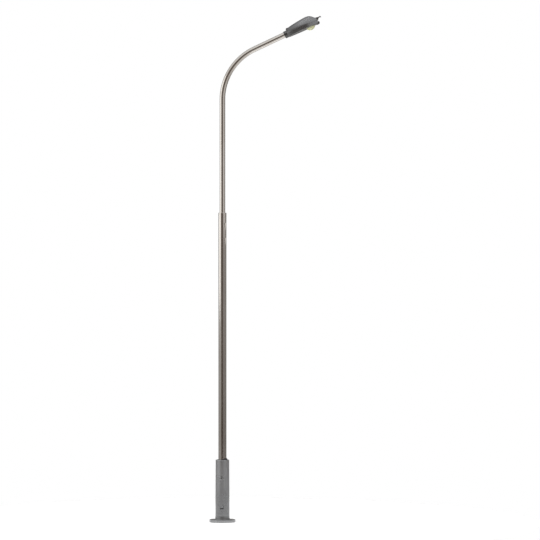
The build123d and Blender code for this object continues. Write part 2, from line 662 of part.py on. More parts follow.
# ---------------------------------------------------------------- luminaire housing
HEAD_UP = Axis(HEAD.origin, HEAD.z_dir)
SOCKET_END = ARM_IN_SOCKET + 8.0
CLAMP_STATIONS = (88.0, 118.0)
CLAMP_RADIUS = 5.0
HEATSINK_BASE = -16.0
STANDOFFS = [(LENS_U + du, dw) for du in (-78.0, 78.0) for dw in (-60.0, 60.0)]
RING_SCREW_CIRCLE = 87.2
LENS_RING_RADIUS = 91.0
RING_SCREW_RADIUS = 2.0
KEEPER_TOP, KEEPER_BOTTOM = -21.5, -33.0
KEEPER_WIDTH = 38.0
KEEPER_FRONT = 588.0
KEEPER_FACE = 578.0
# Each screw's place across and up the nose, the face its head bears on, and its radius.
NOSE_SCREWS = [
    (-12.0, -50.0, KEEPER_FRONT, 2.5),
    (12.0, -50.0, KEEPER_FRONT, 2.5),
    (-12.0, -18.25, KEEPER_FACE, 1.5),
    (12.0, -18.25, KEEPER_FACE, 1.5),
]
HINGE_KNUCKLE_RADIUS = 5.0
HINGE_BORE_RADIUS = 2.6


def half_width(u, inset=0.0):
    """Half the luminaire's width at distance u, with its walls moved inwards by inset."""
    flank = REAR_FLANK_RADIUS if u < WIDEST else FRONT_FLANK_RADIUS
    return sqrt((flank - inset) ** 2 - (u - WIDEST) ** 2) + HALF_WIDTH - flank


def plan_outline(height, inset, rear=REAR_BLOCK):
    """The luminaire's outline seen from above, with its walls moved inwards by inset."""
    stations = (rear, (rear + WIDEST) / 2, WIDEST, (WIDEST + NOSE) / 2, NOSE - inset)
    with BuildSketch(HEAD.offset(height)) as outline:
        with BuildLine():
            right = [(u, half_width(u, inset)) for u in stations]
            ThreePointArc(*right[:3])
            ThreePointArc(*right[2:])
            left = [(u, -w) for u, w in right]
            ThreePointArc(*left[:3])
            ThreePointArc(*left[2:])
            Line(right[0], left[0])
            Line(right[-1], left[-1])
        make_face()
    return outline.sketch


def crown(u, top, foot, inset=0.0):
    """Half an ellipse across the luminaire, from a foot height up to the crown."""
    with BuildSketch(head_section(u)) as arch:
        with BuildLine():
            curve = EllipticalCenterArc((0, foot), half_width(u, inset), top - foot, 0, arc_size=180)
            Line(curve @ 1, curve @ 0)
        make_face()
    return arch.sketch


with BuildPart() as luminaire_housing:
    # Tray: the plan outline, cut below by a slightly sloping underside.
    extrude(plan_outline(RIM, 0), amount=-70)
    slab([(REAR_BLOCK - 1, RIM + 1), (REAR_BLOCK - 1, -60), (NOSE + 1, -67), (NOSE + 1, RIM + 1)],
         -150, 150, Mode.INTERSECT)
    fillet(luminaire_housing.faces().sort_by(HEAD_UP)[0].edges(), radius=10)
    extrude(plan_outline(RIM, HEAD_WALL, REAR_BLOCK + 10), amount=TRAY_FLOOR - RIM, mode=Mode.SUBTRACT)
    # Rear block, which closes the canopy's open end.
    loft([crown(REAR_BLOCK, 70, RIM - 1), crown(REAR_BLOCK_END, 75.5, RIM - 1)])
    loft(
        [crown(REAR_BLOCK + 10, 67, RIM - 2, 6), crown(REAR_BLOCK_END + 1, 70.5, RIM - 2, 5)],
        mode=Mode.SUBTRACT,
    )
    # Socket for the arm, with a stop ring at its inner end.
    round_bar(head_section(0), COLLAR_RADIUS, SOCKET_END)
    round_bar(head_section(0), SOCKET_BORE, ARM_IN_SOCKET, Mode.SUBTRACT)
    round_bar(head_section(0), 30, SOCKET_END + 1, Mode.SUBTRACT)
    with BuildSketch(head_section(6)) as lobe:
        with Locations((0, -34)):
            Circle(27)
    extrude(lobe.sketch, amount=REAR_BLOCK + 10)
    round_bar(head_section(0), SOCKET_BORE, ARM_IN_SOCKET, Mode.SUBTRACT)
    for u in CLAMP_STATIONS:
        round_bar(head_at(u, 0, SOCKET_BORE + 5), 10, 11)
        round_bar(head_at(u, 0, SOCKET_BORE - 3), CLAMP_RADIUS + 0.15, 20, Mode.SUBTRACT)
    # Nose lug that carries the latch's keeper.
    slab(
        [(522, -62), (532, -75), (558, -78), (NOSE, -76), (NOSE, RIM), (548, RIM)],
        -KEEPER_WIDTH / 2, KEEPER_WIDTH / 2,
    )
    for w, v, face, radius in NOSE_SCREWS:
        with BuildSketch(head_section(NOSE + 1)) as hole:
            with Locations((w, v)):
                Circle(radius + 0.1)
        extrude(hole.sketch, amount=-16, mode=Mode.SUBTRACT)
    # Lens opening, bosses and threaded holes.
    round_bar(head_at(LENS_U, 0, -70), LENS_RADIUS + 1, 30, Mode.SUBTRACT)
    for u, w in STANDOFFS:
        round_bar(head_at(u, w, TRAY_FLOOR - 2), 6, HEATSINK_BASE - 0.1 - TRAY_FLOOR + 2)
        round_bar(head_at(u, w, TRAY_FLOOR + 3), 2.6, 40, Mode.SUBTRACT)
    for k in range(6):
        place = heading(60 * k + 30) * RING_SCREW_CIRCLE
        round_bar(
            head_at(LENS_U + place.X, place.Y, TRAY_FLOOR - 7), RING_SCREW_RADIUS + 0.1, 8, Mode.SUBTRACT
        )
    round_bar(head_at(182, -20, TRAY_FLOOR - 2), 6, 30.9)
    round_bar(head_at(182, 20, TRAY_FLOOR - 2), 6, 30.9)
    # Hinge lugs on the rear block, and the dip between them for the canopy's knuckle.
    for inner, outer in ((18, 32), (-18, -32)):
        slab([(60, 52), (73.5, 52), (73.5, 77), (66, 77)], inner, outer)
        cross_bar(CANOPY_HINGE, HINGE_KNUCKLE_RADIUS, inner, outer)
    cross_bar(CANOPY_HINGE, HINGE_KNUCKLE_RADIUS + 0.6, -18, 18, Mode.SUBTRACT)
    cross_bar(CANOPY_HINGE, HINGE_BORE_RADIUS, -40, 40, Mode.SUBTRACT)

with BuildPart() as latch_keeper:
    slab([(NOSE + 0.1, RIM - 1), (KEEPER_FACE, RIM - 1), (KEEPER_FACE, KEEPER_TOP),
          (NOSE + 0.1, KEEPER_TOP)], -KEEPER_WIDTH / 2, KEEPER_WIDTH / 2)

with BuildPart() as nose_bumper:
    slab([(NOSE + 0.1, KEEPER_BOTTOM), (584, KEEPER_BOTTOM), (KEEPER_FRONT, KEEPER_BOTTOM - 5),
          (KEEPER_FRONT, -60), (578, -74), (NOSE + 0.1, -76)], -KEEPER_WIDTH / 2, KEEPER_WIDTH / 2)

for block, block_face in ((latch_keeper, KEEPER_FACE), (nose_bumper, KEEPER_FRONT)):
    for w, v, face, radius in NOSE_SCREWS:
        if face == block_face:
            with BuildSketch(head_section(NOSE - 1)) as hole:
                with Locations((w, v)):
                    Circle(radius + 0.3)
            with block:
                extrude(hole.sketch, amount=30, mode=Mode.SUBTRACT)

with BuildPart() as keeper_screws:
    for w, v, face, radius in NOSE_SCREWS:
        for start, end, wide in ((NOSE - 14, face + 0.1, radius), (face + 0.1, face + 2.1, 1.7 * radius)):
            with BuildSketch(head_section(start)) as shank:
                with Locations((w, v)):
                    Circle(wide)
            extrude(shank.sketch, amount=end - start)

with BuildPart() as spigot_clamp_screws:
    for u in CLAMP_STATIONS:
        round_bar(head_at(u, 0, UPPER_TUBE_RADIUS + 0.15), CLAMP_RADIUS, 18)
        with BuildSketch(head_at(u, 0, UPPER_TUBE_RADIUS + 18.15)):
            RegularPolygon(radius=8.2, side_count=6)
        extrude(amount=4)

with BuildPart() as socket_grommet:
    round_bar(head_section(ARM_IN_SOCKET + 0.2), 29.8, 8)
    round_bar(head_section(SOCKET_END + 0.1), 34, 3)
    round_bar(head_section(ARM_IN_SOCKET), CABLE_RADIUS + 0.1, 20, Mode.SUBTRACT)

with BuildPart() as canopy_gasket:
    extrude(plan_outline(RIM + 0.1, 1, CANOPY_REAR + 1), amount=SEAM - RIM - 0.2)
    extrude(plan_outline(RIM + 0.1, 4, CANOPY_REAR + 1), amount=SEAM - RIM - 0.2, mode=Mode.SUBTRACT)

# ---------------------------------------------------------------- canopy and latch
with BuildPart() as canopy:
    crown_line = Spline(*CROWN, mode=Mode.PRIVATE)
    stations = [crown_line @ (k / (CROWN_STATIONS - 1)) for k in range(CROWN_STATIONS)]
    loft([crown(place.X, place.Y, SEAM) for place in stations])
    stations[0] -= Vector(1, 0)
    stations[-1] = stations[-1] * 0.2 + stations[-2] * 0.8
    loft(
        [crown(place.X, place.Y - CANOPY_WALL, SEAM - 1, CANOPY_WALL) for place in stations],
        mode=Mode.SUBTRACT,
    )
    # Knuckle at the crown's rear end.
    slab([(70, 82.9), (96, 80.4), (96, 77.5), (80, 73.5), (76.6, 73.5), (74, 76)], -17.7, 17.7)
    cross_bar(CANOPY_HINGE, HINGE_KNUCKLE_RADIUS, -17.7, 17.7)
    cross_bar(CANOPY_HINGE, HINGE_BORE_RADIUS + 0.1, -20, 20, Mode.SUBTRACT)
    # Ears at the nose that hold the latch lever's pin.
    for inner, outer in ((11, 17), (-11, -17)):
        slab([(562.5, 37), (590, 32), (600, 20), (598, 6), (588, -6), (578, -9), (562.5, -9)], inner, outer)
        cross_bar(LATCH_PIVOT, 10, inner, outer)
    cross_bar(LATCH_PIVOT, 3.1, -20, 20, Mode.SUBTRACT)

with BuildPart() as canopy_hinge_pin:
    cross_bar(CANOPY_HINGE, 2.5, -34, 34)
    cross_bar(CANOPY_HINGE, 4, 34, 36)
    cross_bar(CANOPY_HINGE, 4, -34, -36)

with BuildPart() as latch_lever:
    pivot_u, pivot_v = LATCH_PIVOT
    with BuildSketch(HEAD_SIDE.offset(-10.5)):
        with BuildLine():
            Polyline((pivot_u, pivot_v - 8), (pivot_u + 44, pivot_v - 8), (pivot_u + 45.5, pivot_v - 18),
                     (pivot_u + 51, pivot_v - 18), (pivot_u + 52.5, pivot_v - 10),
                     (pivot_u + 52.5, pivot_v + 4), (pivot_u + 48, pivot_v + 8), (pivot_u, pivot_v + 8),
                     close=True)
        make_face()
        with Locations(LATCH_PIVOT):
            Circle(8)
            Circle(3.2, mode=Mode.SUBTRACT)
    extrude(amount=21)

with BuildPart() as latch_pin:
    cross_bar(LATCH_PIVOT, 3, -19, 19)
    cross_bar(LATCH_PIVOT, 5, 19, 21)
    cross_bar(LATCH_PIVOT, 5, -19, -21)

# ---------------------------------------------------------------- optics and gear in the luminaire
LENS_FLANGE = TRAY_FLOOR + 2.2
LENS_WALL = 4.0
LENS_SHOULDER = -73.0
LENS_SIDE = Plane(origin=head_at(LENS_U, 0, 0).origin, x_dir=HEAD.x_dir, z_dir=(0, -1, 0))
with BuildPart() as lens_gasket:
    ring(LENS_RADIUS + 2, LENS_RADIUS + 11.5, 2, head_at(LENS_U, 0, TRAY_FLOOR + 0.1))



def cap_radius(half_width_of_cap, height):
    """The radius of the sphere whose cap has that half width and height."""
    return (half_width_of_cap**2 + height**2) / (2 * height)


with BuildPart() as lens_dome:
    drop = LENS_SHOULDER - LENS_TIP
    with BuildSketch(LENS_SIDE):
        with BuildLine():
            outer = RadiusArc((LENS_RADIUS, LENS_SHOULDER), (0, LENS_TIP), cap_radius(LENS_RADIUS, drop))
            rim = Polyline(
                outer @ 0,
                (LENS_RADIUS, LENS_FLANGE),
                (LENS_RADIUS + 11.5, LENS_FLANGE),
                (LENS_RADIUS + 11.5, LENS_FLANGE + LENS_WALL),
                (LENS_RADIUS - LENS_WALL, LENS_FLANGE + LENS_WALL),
                (LENS_RADIUS - LENS_WALL, LENS_SHOULDER),
            )
            inside = cap_radius(LENS_RADIUS - LENS_WALL, drop - LENS_WALL)
            inner = RadiusArc(rim @ 1, (0, LENS_TIP + LENS_WALL), inside)
            Line(inner @ 1, outer @ 1)
        make_face()
    revolve(axis=Axis(LENS_SIDE.origin, HEAD.z_dir))

RING_BOTTOM = LENS_FLANGE + LENS_WALL + 0.1
with BuildPart() as lens_ring:
    ring(LENS_RADIUS - LENS_WALL, LENS_RING_RADIUS, 3.6, head_at(LENS_U, 0, RING_BOTTOM))
    ring(LENS_RADIUS + 12, LENS_RING_RADIUS, RING_BOTTOM - TRAY_FLOOR, head_at(LENS_U, 0, TRAY_FLOOR + 0.1))
    for k in range(6):
        place = heading(60 * k + 30) * RING_SCREW_CIRCLE
        round_bar(
            head_at(LENS_U + place.X, place.Y, TRAY_FLOOR - 1), RING_SCREW_RADIUS + 0.3, 20, Mode.SUBTRACT
        )

with BuildPart() as ring_screws:
    for k in range(6):
        place = heading(60 * k + 30) * RING_SCREW_CIRCLE
        round_bar(head_at(LENS_U + place.X, place.Y, TRAY_FLOOR - 6), RING_SCREW_RADIUS, 16)
        round_bar(head_at(LENS_U + place.X, place.Y, RING_BOTTOM + 3.7), 4, 2.6)

with BuildPart() as heatsink:
    with BuildSketch(head_at(LENS_U, 0, HEATSINK_BASE)):
        RectangleRounded(176, 136, 14)
        for u, w in STANDOFFS:
            with Locations((u - LENS_U, w)):
                Circle(2.7, mode=Mode.SUBTRACT)
    extrude(amount=8)
    with BuildSketch(head_at(LENS_U, 0, HEATSINK_BASE + 8)):
        with GridLocations(0, 15, 1, 7):
            Rectangle(150, 3)
    extrude(amount=40)

with BuildPart() as heatsink_screws:
    for u, w in STANDOFFS:
        round_bar(head_at(u, w, HEATSINK_BASE - 14), 2.4, 22.1)
        round_bar(head_at(u, w, HEATSINK_BASE + 8.1), 4.5, 3)

with BuildPart() as led_board:
    round_bar(head_at(LENS_U, 0, HEATSINK_BASE - 0.1), 23, -1.8)

with BuildPart() as led_emitter:
    round_bar(head_at(LENS_U, 0, HEATSINK_BASE - 2.0), 15, -1.6)
    fillet(led_emitter.faces().sort_by(HEAD_UP)[0].edges(), radius=1)

with BuildPart() as reflector:
    with BuildSketch(LENS_SIDE):
        with BuildLine():
            Polyline((25, HEATSINK_BASE - 0.1), (36, HEATSINK_BASE - 0.1), (36, HEATSINK_BASE - 1.6),
                     (27, HEATSINK_BASE - 1.6), (65, HEATSINK_BASE - 21), (64, HEATSINK_BASE - 22.2),
                     (25, HEATSINK_BASE - 2.6), close=True)
        make_face()
    revolve(axis=Axis(LENS_SIDE.origin, HEAD.z_dir))

DRIVER_REAR, DRIVER_FRONT = 212.0, 312.0
with BuildPart() as driver:
    with BuildSketch(head_at((DRIVER_REAR + DRIVER_FRONT) / 2, -26, TRAY_FLOOR + 0.1)):
        RectangleRounded(DRIVER_FRONT - DRIVER_REAR, 60, 4)
    extrude(amount=33)
    fillet(driver.faces().sort_by(HEAD_UP)[-1].edges(), radius=2)
    for u in (DRIVER_REAR - 7, DRIVER_FRONT + 7):
        with BuildSketch(head_at(u, -26, TRAY_FLOOR + 0.1)):
            Rectangle(16, 40)
            Circle(2.7, mode=Mode.SUBTRACT)
        extrude(amount=3)

with BuildPart() as driver_screws:
    for u in (DRIVER_REAR - 8, DRIVER_FRONT + 8):
        round_bar(head_at(u, -26, TRAY_FLOOR + 3.2), 4.5, 3)

TERMINAL_FRONT = 198.0
with BuildPart() as terminal_block:
    with BuildSketch(head_at((TERMINAL_U + TERMINAL_FRONT) / 2, 0, TRAY_FLOOR + 29)):
        RectangleRounded(TERMINAL_FRONT - TERMINAL_U, 64, 3)
    extrude(amount=27)
    with BuildSketch(head_at((TERMINAL_U + TERMINAL_FRONT) / 2, 0, TRAY_FLOOR + 56)):
        with GridLocations(0, 14, 1, 4):
            Circle(4)
    extrude(amount=-10, mode=Mode.SUBTRACT)

with BuildPart() as surge_protector:
    with BuildSketch(head_at(244, 44, TRAY_FLOOR + 0.1)):
        RectangleRounded(60, 40, 5)
    extrude(amount=26)
    fillet(surge_protector.faces().sort_by(HEAD_UP)[-1].edges(), radius=3)

with BuildPart() as led_connector:
    with BuildSketch(head_at(346, -18, HEATSINK_BASE + 8.1)):
        Rectangle(8, 24)
    extrude(amount=12)


def head_wire(points, bend):
    """A thin wire through points in the luminaire's own directions, with rounded corners."""
    places = [head_at(*point).origin for point in points]
    with BuildLine() as run:
        FilletPolyline(*places, radius=bend)
    with BuildSketch(Plane(origin=run.line @ 0, z_dir=run.line % 0)) as section:
        Circle(1.6)
    sweep(section.sketch, path=run.wires()[0])


with BuildPart() as luminaire_wires:
    start, level = TERMINAL_FRONT + 0.1, -2
    for w in (-21, -7):
        head_wire([(start, w, level), (228, w, level), (228, w, TRAY_FLOOR + 33.2)], 9)
        out = w - 4
        rise = [(DRIVER_FRONT + 0.2, out, -30), (327, out, -30), (327, out, level), (341.9, out, level)]
        head_wire(rise, 6)
    head_wire([(start, 24, level), (236, 24, level), (236, 44, level), (236, 44, TRAY_FLOOR + 26.2)], 8)

# ---------------------------------------------------------------- export
PIECES = {
    "base_flange": base_flange,
    "pedestal": pedestal,
    "neck_set_screws": neck_set_screws,
    "neck_seal": neck_seal,
    "tube_centring_ring": tube_centring_ring,
    "door_frame": door_frame,
    "door_hinge_pin": door_hinge_pin,
    "vent_insert": vent_insert,
    "door": door,
    "door_gasket": door_gasket,
    "lock_plate": lock_plate,
    "lock_keeper": lock_keeper,
    "lock_barrel": lock_barrel,
    "lock_cam": lock_cam,
    "cam_screw": cam_screw,
    "backboard": backboard,
    "board_brackets": board_brackets,
    "board_screws": board_screws,
    "cutout_body": cutout_body,
    "fuse_contacts": fuse_contacts,
    "fuse_carrier": fuse_carrier,
    "cartridge_fuse": cartridge_fuse,
    "supply_terminal_box": supply_terminal_box,
    "earth_terminal": earth_terminal,
    "cable_gland": cable_gland,
    "column_cable": column_cable,
    "lower_tube": lower_tube,
    "reducing_collar": reducing_collar,
    "tube_rest_ring": tube_rest_ring,
    "upper_tube": upper_tube,
    "luminaire_housing": luminaire_housing,
    "latch_keeper": latch_keeper,
    "nose_bumper": nose_bumper,
    "keeper_screws": keeper_screws,
    "spigot_clamp_screws": spigot_clamp_screws,
    "socket_grommet": socket_grommet,
    "canopy_gasket": canopy_gasket,
    "lens_gasket": lens_gasket,
    "lens_dome": lens_dome,
    "lens_ring": lens_ring,
    "ring_screws": ring_screws,
    "heatsink": heatsink,
    "heatsink_screws": heatsink_screws,
    "led_board": led_board,
    "led_emitter": led_emitter,
    "led_connector": led_connector,
    "reflector": reflector,
    "driver": driver,
    "driver_screws": driver_screws,
    "terminal_block": terminal_block,
    "surge_protector": surge_protector,
    "luminaire_wires": luminaire_wires,
    "canopy_hinge_pin": canopy_hinge_pin,
    "canopy": canopy,
    "latch_lever": latch_lever,
    "latch_pin": latch_pin,
}
os.makedirs("parts", exist_ok=True)
for name, piece in PIECES.items():
    piece.part.label = name
    export_step(piece.part, f"parts/{name}.step")
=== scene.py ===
"""Looks, light and camera for the street lamp post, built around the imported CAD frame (metres)."""

from math import cos, pi, radians, sin

import bmesh
import bpy
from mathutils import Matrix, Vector


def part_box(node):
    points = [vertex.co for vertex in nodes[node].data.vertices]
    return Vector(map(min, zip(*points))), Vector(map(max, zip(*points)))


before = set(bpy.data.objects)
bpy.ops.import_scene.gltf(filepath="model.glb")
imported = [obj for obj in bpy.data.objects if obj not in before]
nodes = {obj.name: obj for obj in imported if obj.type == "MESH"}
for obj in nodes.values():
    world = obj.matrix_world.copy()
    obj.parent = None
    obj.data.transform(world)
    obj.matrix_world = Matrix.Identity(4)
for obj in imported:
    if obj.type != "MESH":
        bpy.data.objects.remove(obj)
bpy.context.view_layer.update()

# ------------------------------------------------------------------ camera
# A long lens far off, level, and half way up the post.
VIEW_WIDTH = 8.521
VIEW_DISTANCE = 46.0
VIEW_CENTRE = Vector((0.7533, 0.0, 3.98))
VIEW_AZIMUTH = radians(-4.3)
SENSOR_WIDTH = 36.0
CLIP_END = 400.0

camera_data = bpy.data.cameras.new("camera")
camera_data.sensor_width = SENSOR_WIDTH
camera_data.lens = SENSOR_WIDTH * VIEW_DISTANCE / VIEW_WIDTH
camera_data.clip_end = CLIP_END
camera = bpy.data.objects.new("camera", camera_data)
bpy.context.scene.collection.objects.link(camera)
towards = Vector((sin(VIEW_AZIMUTH), cos(VIEW_AZIMUTH), 0.0))
camera.location = VIEW_CENTRE - towards * VIEW_DISTANCE
camera.rotation_euler = (radians(90.0), 0.0, -VIEW_AZIMUTH)
bpy.context.scene.camera = camera
bpy.context.scene.view_settings.view_transform = "Standard"


# ------------------------------------------------------------------ shader building
class Nodes:
    """A short way to wire up a node tree."""

    def __init__(self, tree):
        self.tree = tree
        tree.nodes.clear()

    def add(self, kind, inputs=None, **settings):
        """A node of that kind. Inputs are values or other nodes' sockets, by name or number."""
        node = self.tree.nodes.new(kind)
        for key, value in settings.items():
            setattr(node, key, value)
        for key, value in (inputs or {}).items():
            self.join(value, node.inputs[key])
        return node

    def join(self, value, socket):
        if isinstance(value, bpy.types.NodeSocket):
            self.tree.links.new(value, socket)
        else:
            socket.default_value = value

    def maths(self, operation, *values):
        node = self.add("ShaderNodeMath", operation=operation)
        for value, socket in zip(values, node.inputs):
            self.join(value, socket)
        return node.outputs[0]

    def ramp(self, factor, stops, smooth=True):
        """A colour ramp, eased unless smooth is False. Stops are (place, grey or colour)."""
        node = self.add("ShaderNodeValToRGB", {"Fac": factor})
        ramp = node.color_ramp
        ramp.interpolation = "EASE" if smooth else "CONSTANT"
        while len(ramp.elements) < len(stops):
            ramp.elements.new(1.0)
        for element, (place, colour) in zip(ramp.elements, stops):
            element.position = place
            element.color = (*colour, 1.0) if isinstance(colour, tuple) else (colour, colour, colour, 1.0)
        return node.outputs["Color"]

    def mix(self, factor, first, second):
        node = self.add("ShaderNodeMix", data_type="RGBA")
        self.join(factor, node.inputs[0])
        for value, socket in ((first, node.inputs[6]), (second, node.inputs[7])):
            self.join((*value, 1.0) if isinstance(value, tuple) else value, socket)
        return node.outputs[2]

    def place(self, stretch=(1.0, 1.0, 1.0)):
        """The point's place in the CAD frame, in metres, stretched along each axis."""
        where = self.add("ShaderNodeTexCoord").outputs["Object"]
        return self.add("ShaderNodeMapping", {"Vector": where, "Scale": stretch}).outputs["Vector"]

    def noise(self, scale, detail=3.0, roughness=0.5, stretch=(1.0, 1.0, 1.0)):
        inputs = {"Vector": self.place(stretch), "Scale": scale, "Detail": detail, "Roughness": roughness}
        return self.add("ShaderNodeTexNoise", inputs).outputs["Fac"]

    def along(self, axis):
        """The point's place along X, Y or Z, in metres from the column's foot."""
        where = self.add("ShaderNodeTexCoord").outputs["Object"]
        return self.add("ShaderNodeSeparateXYZ", {"Vector": where}).outputs[axis]

    def edges(self, radius):
        """About 1 on a sharp edge and 0 on a flat or gently curved surface."""
        rounded = self.add("ShaderNodeBevel", {"Radius": radius}, samples=4).outputs["Normal"]
        plain = self.add("ShaderNodeNewGeometry").outputs["Normal"]
        along = self.add("ShaderNodeVectorMath", operation="DOT_PRODUCT")
        self.join(rounded, along.inputs[0])
        self.join(plain, along.inputs[1])
        return self.ramp(self.maths("SUBTRACT", 1.0, along.outputs["Value"]), [(0.01, 0.0), (0.12, 1.0)])


def surface(name, colour=None, metallic=0.0, roughness=0.5, bump=None, **sockets):
    """A Principled material. Its parts are values, or functions of Nodes that give a socket."""
    material = bpy.data.materials.new(name)
    material.use_nodes = True
    tree = Nodes(material.node_tree)
    shader = tree.add("ShaderNodeBsdfPrincipled")
    output = tree.add("ShaderNodeOutputMaterial")
    tree.join(shader.outputs["BSDF"], output.inputs["Surface"])

    def feed(value, socket):
        value = value(tree) if callable(value) else value
        tree.join((*value, 1.0) if isinstance(value, tuple) and len(value) == 3 else value, socket)

    feed(colour, shader.inputs["Base Color"])
    feed(metallic, shader.inputs["Metallic"])
    feed(roughness, shader.inputs["Roughness"])
    for key, value in sockets.items():
        feed(value, shader.inputs[key.replace("_", " ")])
    if bump:
        texture, strength, distance = bump
        inputs = {"Height": texture(tree), "Strength": strength, "Distance": distance}
        tree.join(tree.add("ShaderNodeBump", inputs).outputs["Normal"], shader.inputs["Normal"])
    return material


# ------------------------------------------------------------------ materials
# The tube's painted shade, darker towards the foot, runs over this height, in metres.
TUBE_SHADE_SPAN = 8.0
# The dark tone of road dirt together with painted shade.
DIRT_AND_SHADE_TONE = (0.070, 0.069, 0.067)
FUSE_CAP_LENGTH = 0.009
POLYCARBONATE_IOR = 1.49


def tube_metal():
    """Polished steel with a warm nickel tone: drawing lines, faint tarnish, and painted shade that
    darkens it towards the foot.
    """
    def colour(t):
        clouds = t.noise(3.0, detail=5.0, roughness=0.6, stretch=(1.0, 1.0, 0.35))
        tone = t.ramp(clouds, [(0.3, (0.68, 0.64, 0.59)), (0.7, (0.78, 0.75, 0.71))])
        lines = t.noise(1.0, detail=2.0, stretch=(700.0, 700.0, 1.2))
        tone = t.mix(t.ramp(lines, [(0.35, 0.0), (0.75, 0.25)]), tone, (0.52, 0.46, 0.41))
        # Painted shade: the colour darkens towards the foot, standing in for dimmer reflections low on
        # the tube.
        share = t.maths("DIVIDE", t.along("Z"), TUBE_SHADE_SPAN)
        painted_shade = t.ramp(share, [(0.12, 1.0), (0.50, 0.25), (0.60, 0.0)])
        return t.mix(painted_shade, tone, t.mix(0.42, tone, (0.20, 0.185, 0.17)))

    def rough(t):
        smears = t.noise(9.0, detail=4.0, roughness=0.65, stretch=(1.0, 1.0, 0.2))
        return t.ramp(smears, [(0.3, 0.13), (0.75, 0.24)])

    def lines(t):
        return t.noise(1.0, detail=2.0, stretch=(900.0, 900.0, 2.0))

    return surface("bright_tube", colour, 1.0, rough, (lines, 0.05, 0.0004))


def painted(name, base, light, roughness, metallic, dirt_and_shade, worn=(0.55, 0.55, 0.56)):
    """Metallic paint: a fine orange peel, faint clouds, worn edges, and a darkening that is road dirt
    together with painted shade.

    The darkening is (axis, start, stops): its ramp runs over the first metre from start along that axis.
    """
    def colour(t):
        clouds = t.noise(6.0, detail=6.0, roughness=0.62)
        tone = t.ramp(clouds, [(0.3, base), (0.72, light)])
        specks = t.noise(1400.0, detail=1.0)
        tone = t.mix(t.ramp(specks, [(0.62, 0.0), (0.78, 0.06)]), tone, worn)
        patches = t.ramp(t.noise(60.0, detail=4.0), [(0.4, 0.0), (0.7, 0.5)])
        rub = t.maths("MULTIPLY", t.edges(0.0022), patches)
        tone = t.mix(rub, tone, worn)
        # Road dirt together with painted shade: the colour darkens over the first metre from start along
        # the axis.
        axis, start, stops = dirt_and_shade
        distance = t.maths("SUBTRACT", t.along(axis), start)
        depth = t.maths("MULTIPLY_ADD", t.noise(14.0, detail=3.0), 0.12, distance)
        return t.mix(t.ramp(depth, stops), tone, DIRT_AND_SHADE_TONE)

    def rough(t):
        return t.ramp(t.noise(4.0, detail=1.0), [(0.3, roughness), (0.7, roughness + 0.012)])

    def peel(t):
        return t.noise(220.0, detail=1.0)

    return surface(name, colour, metallic, rough, (peel, 0.014, 0.0004),
                   Coat_Weight=0.08, Coat_Roughness=0.35)


def zinc(name, base=(0.60, 0.61, 0.63), tint=(0.66, 0.64, 0.56)):
    """Plated or blackened steel, the blackened kind dark partly as painted shade: a faint bloom of the
    second colour over fine scratches.
    """
    def colour(t):
        return t.ramp(t.noise(45.0, detail=3.0), [(0.35, base), (0.65, tint)])

    def rough(t):
        return t.ramp(t.noise(260.0, detail=3.0), [(0.3, 0.25), (0.7, 0.42)])

    def scratches(t):
        return t.noise(1.0, detail=2.0, stretch=(2600.0, 500.0, 500.0))

    return surface(name, colour, 1.0, rough, (scratches, 0.08, 0.0003))


def rubber():
    """Black rubber with a dusting of grey."""
    def colour(t):
        dust = t.ramp(t.noise(30.0, detail=6.0, roughness=0.7), [(0.45, 0.0), (0.8, 0.35)])
        return t.mix(dust, (0.016, 0.016, 0.017), (0.07, 0.068, 0.064))

    def grain(t):
        return t.noise(1200.0, detail=2.0)

    return surface("black_rubber", colour, 0.0, 0.72, (grain, 0.2, 0.0003))


def plastic(name, base, roughness=0.45):
    """Moulded plastic with a fine spark-eroded grain."""
    def colour(t):
        shade = tuple(channel * 0.86 for channel in base)
        return t.ramp(t.noise(35.0, detail=4.0), [(0.3, shade), (0.7, base)])

    def rough(t):
        return t.ramp(t.noise(300.0, detail=2.0), [(0.3, roughness - 0.05), (0.7, roughness + 0.08)])

    def grain(t):
        return t.add("ShaderNodeTexVoronoi", {"Vector": t.place(), "Scale": 1500.0}).outputs["Distance"]

    return surface(name, colour, 0.0, rough, (grain, 0.12, 0.0002))


def lens_plastic():
    """The lens bowl: clear polycarbonate with a pale yellow-green tint."""
    def colour(t):
        return t.ramp(t.noise(18.0, detail=3.0), [(0.3, (0.96, 0.99, 0.58)), (0.7, (0.98, 1.0, 0.68))])

    def rough(t):
        return t.ramp(t.noise(70.0, detail=4.0), [(0.35, 0.12), (0.7, 0.22)])

    def ripple(t):
        return t.noise(160.0, detail=1.0)

    return surface("lens_plastic", colour, 0.0, rough, (ripple, 0.08, 0.0008),
                   Transmission_Weight=0.22, IOR=POLYCARBONATE_IOR)


def brushed(name, base, roughness, along=(3000.0, 12.0, 300.0)):
    """Bare metal brushed one way."""
    def colour(t):
        dark = tuple(channel * 0.8 for channel in base)
        return t.ramp(t.noise(1.0, detail=3.0, stretch=along), [(0.3, dark), (0.7, base)])

    def rough(t):
        streaks = t.noise(1.0, detail=3.0, stretch=along)
        return t.ramp(streaks, [(0.3, roughness * 0.7), (0.7, roughness * 1.3)])

    def lines(t):
        return t.noise(1.0, detail=3.0, stretch=along)

    return surface(name, colour, 1.0, rough, (lines, 0.1, 0.0003))


def timber():
    """Sealed plywood: long grain with darker growth lines."""
    def colour(t):
        grain = t.noise(1.0, detail=6.0, roughness=0.65, stretch=(160.0, 160.0, 6.0))
        rings = t.noise(1.0, detail=2.0, stretch=(45.0, 45.0, 2.0))
        tone = t.ramp(grain, [(0.3, (0.26, 0.15, 0.075)), (0.7, (0.55, 0.38, 0.21))])
        return t.mix(t.ramp(rings, [(0.4, 0.0), (0.65, 0.45)]), tone, (0.20, 0.11, 0.05))

    def grain(t):
        return t.noise(1.0, detail=5.0, stretch=(400.0, 400.0, 10.0))

    return surface("board_timber", colour, 0.0, 0.5, (grain, 0.25, 0.0005))


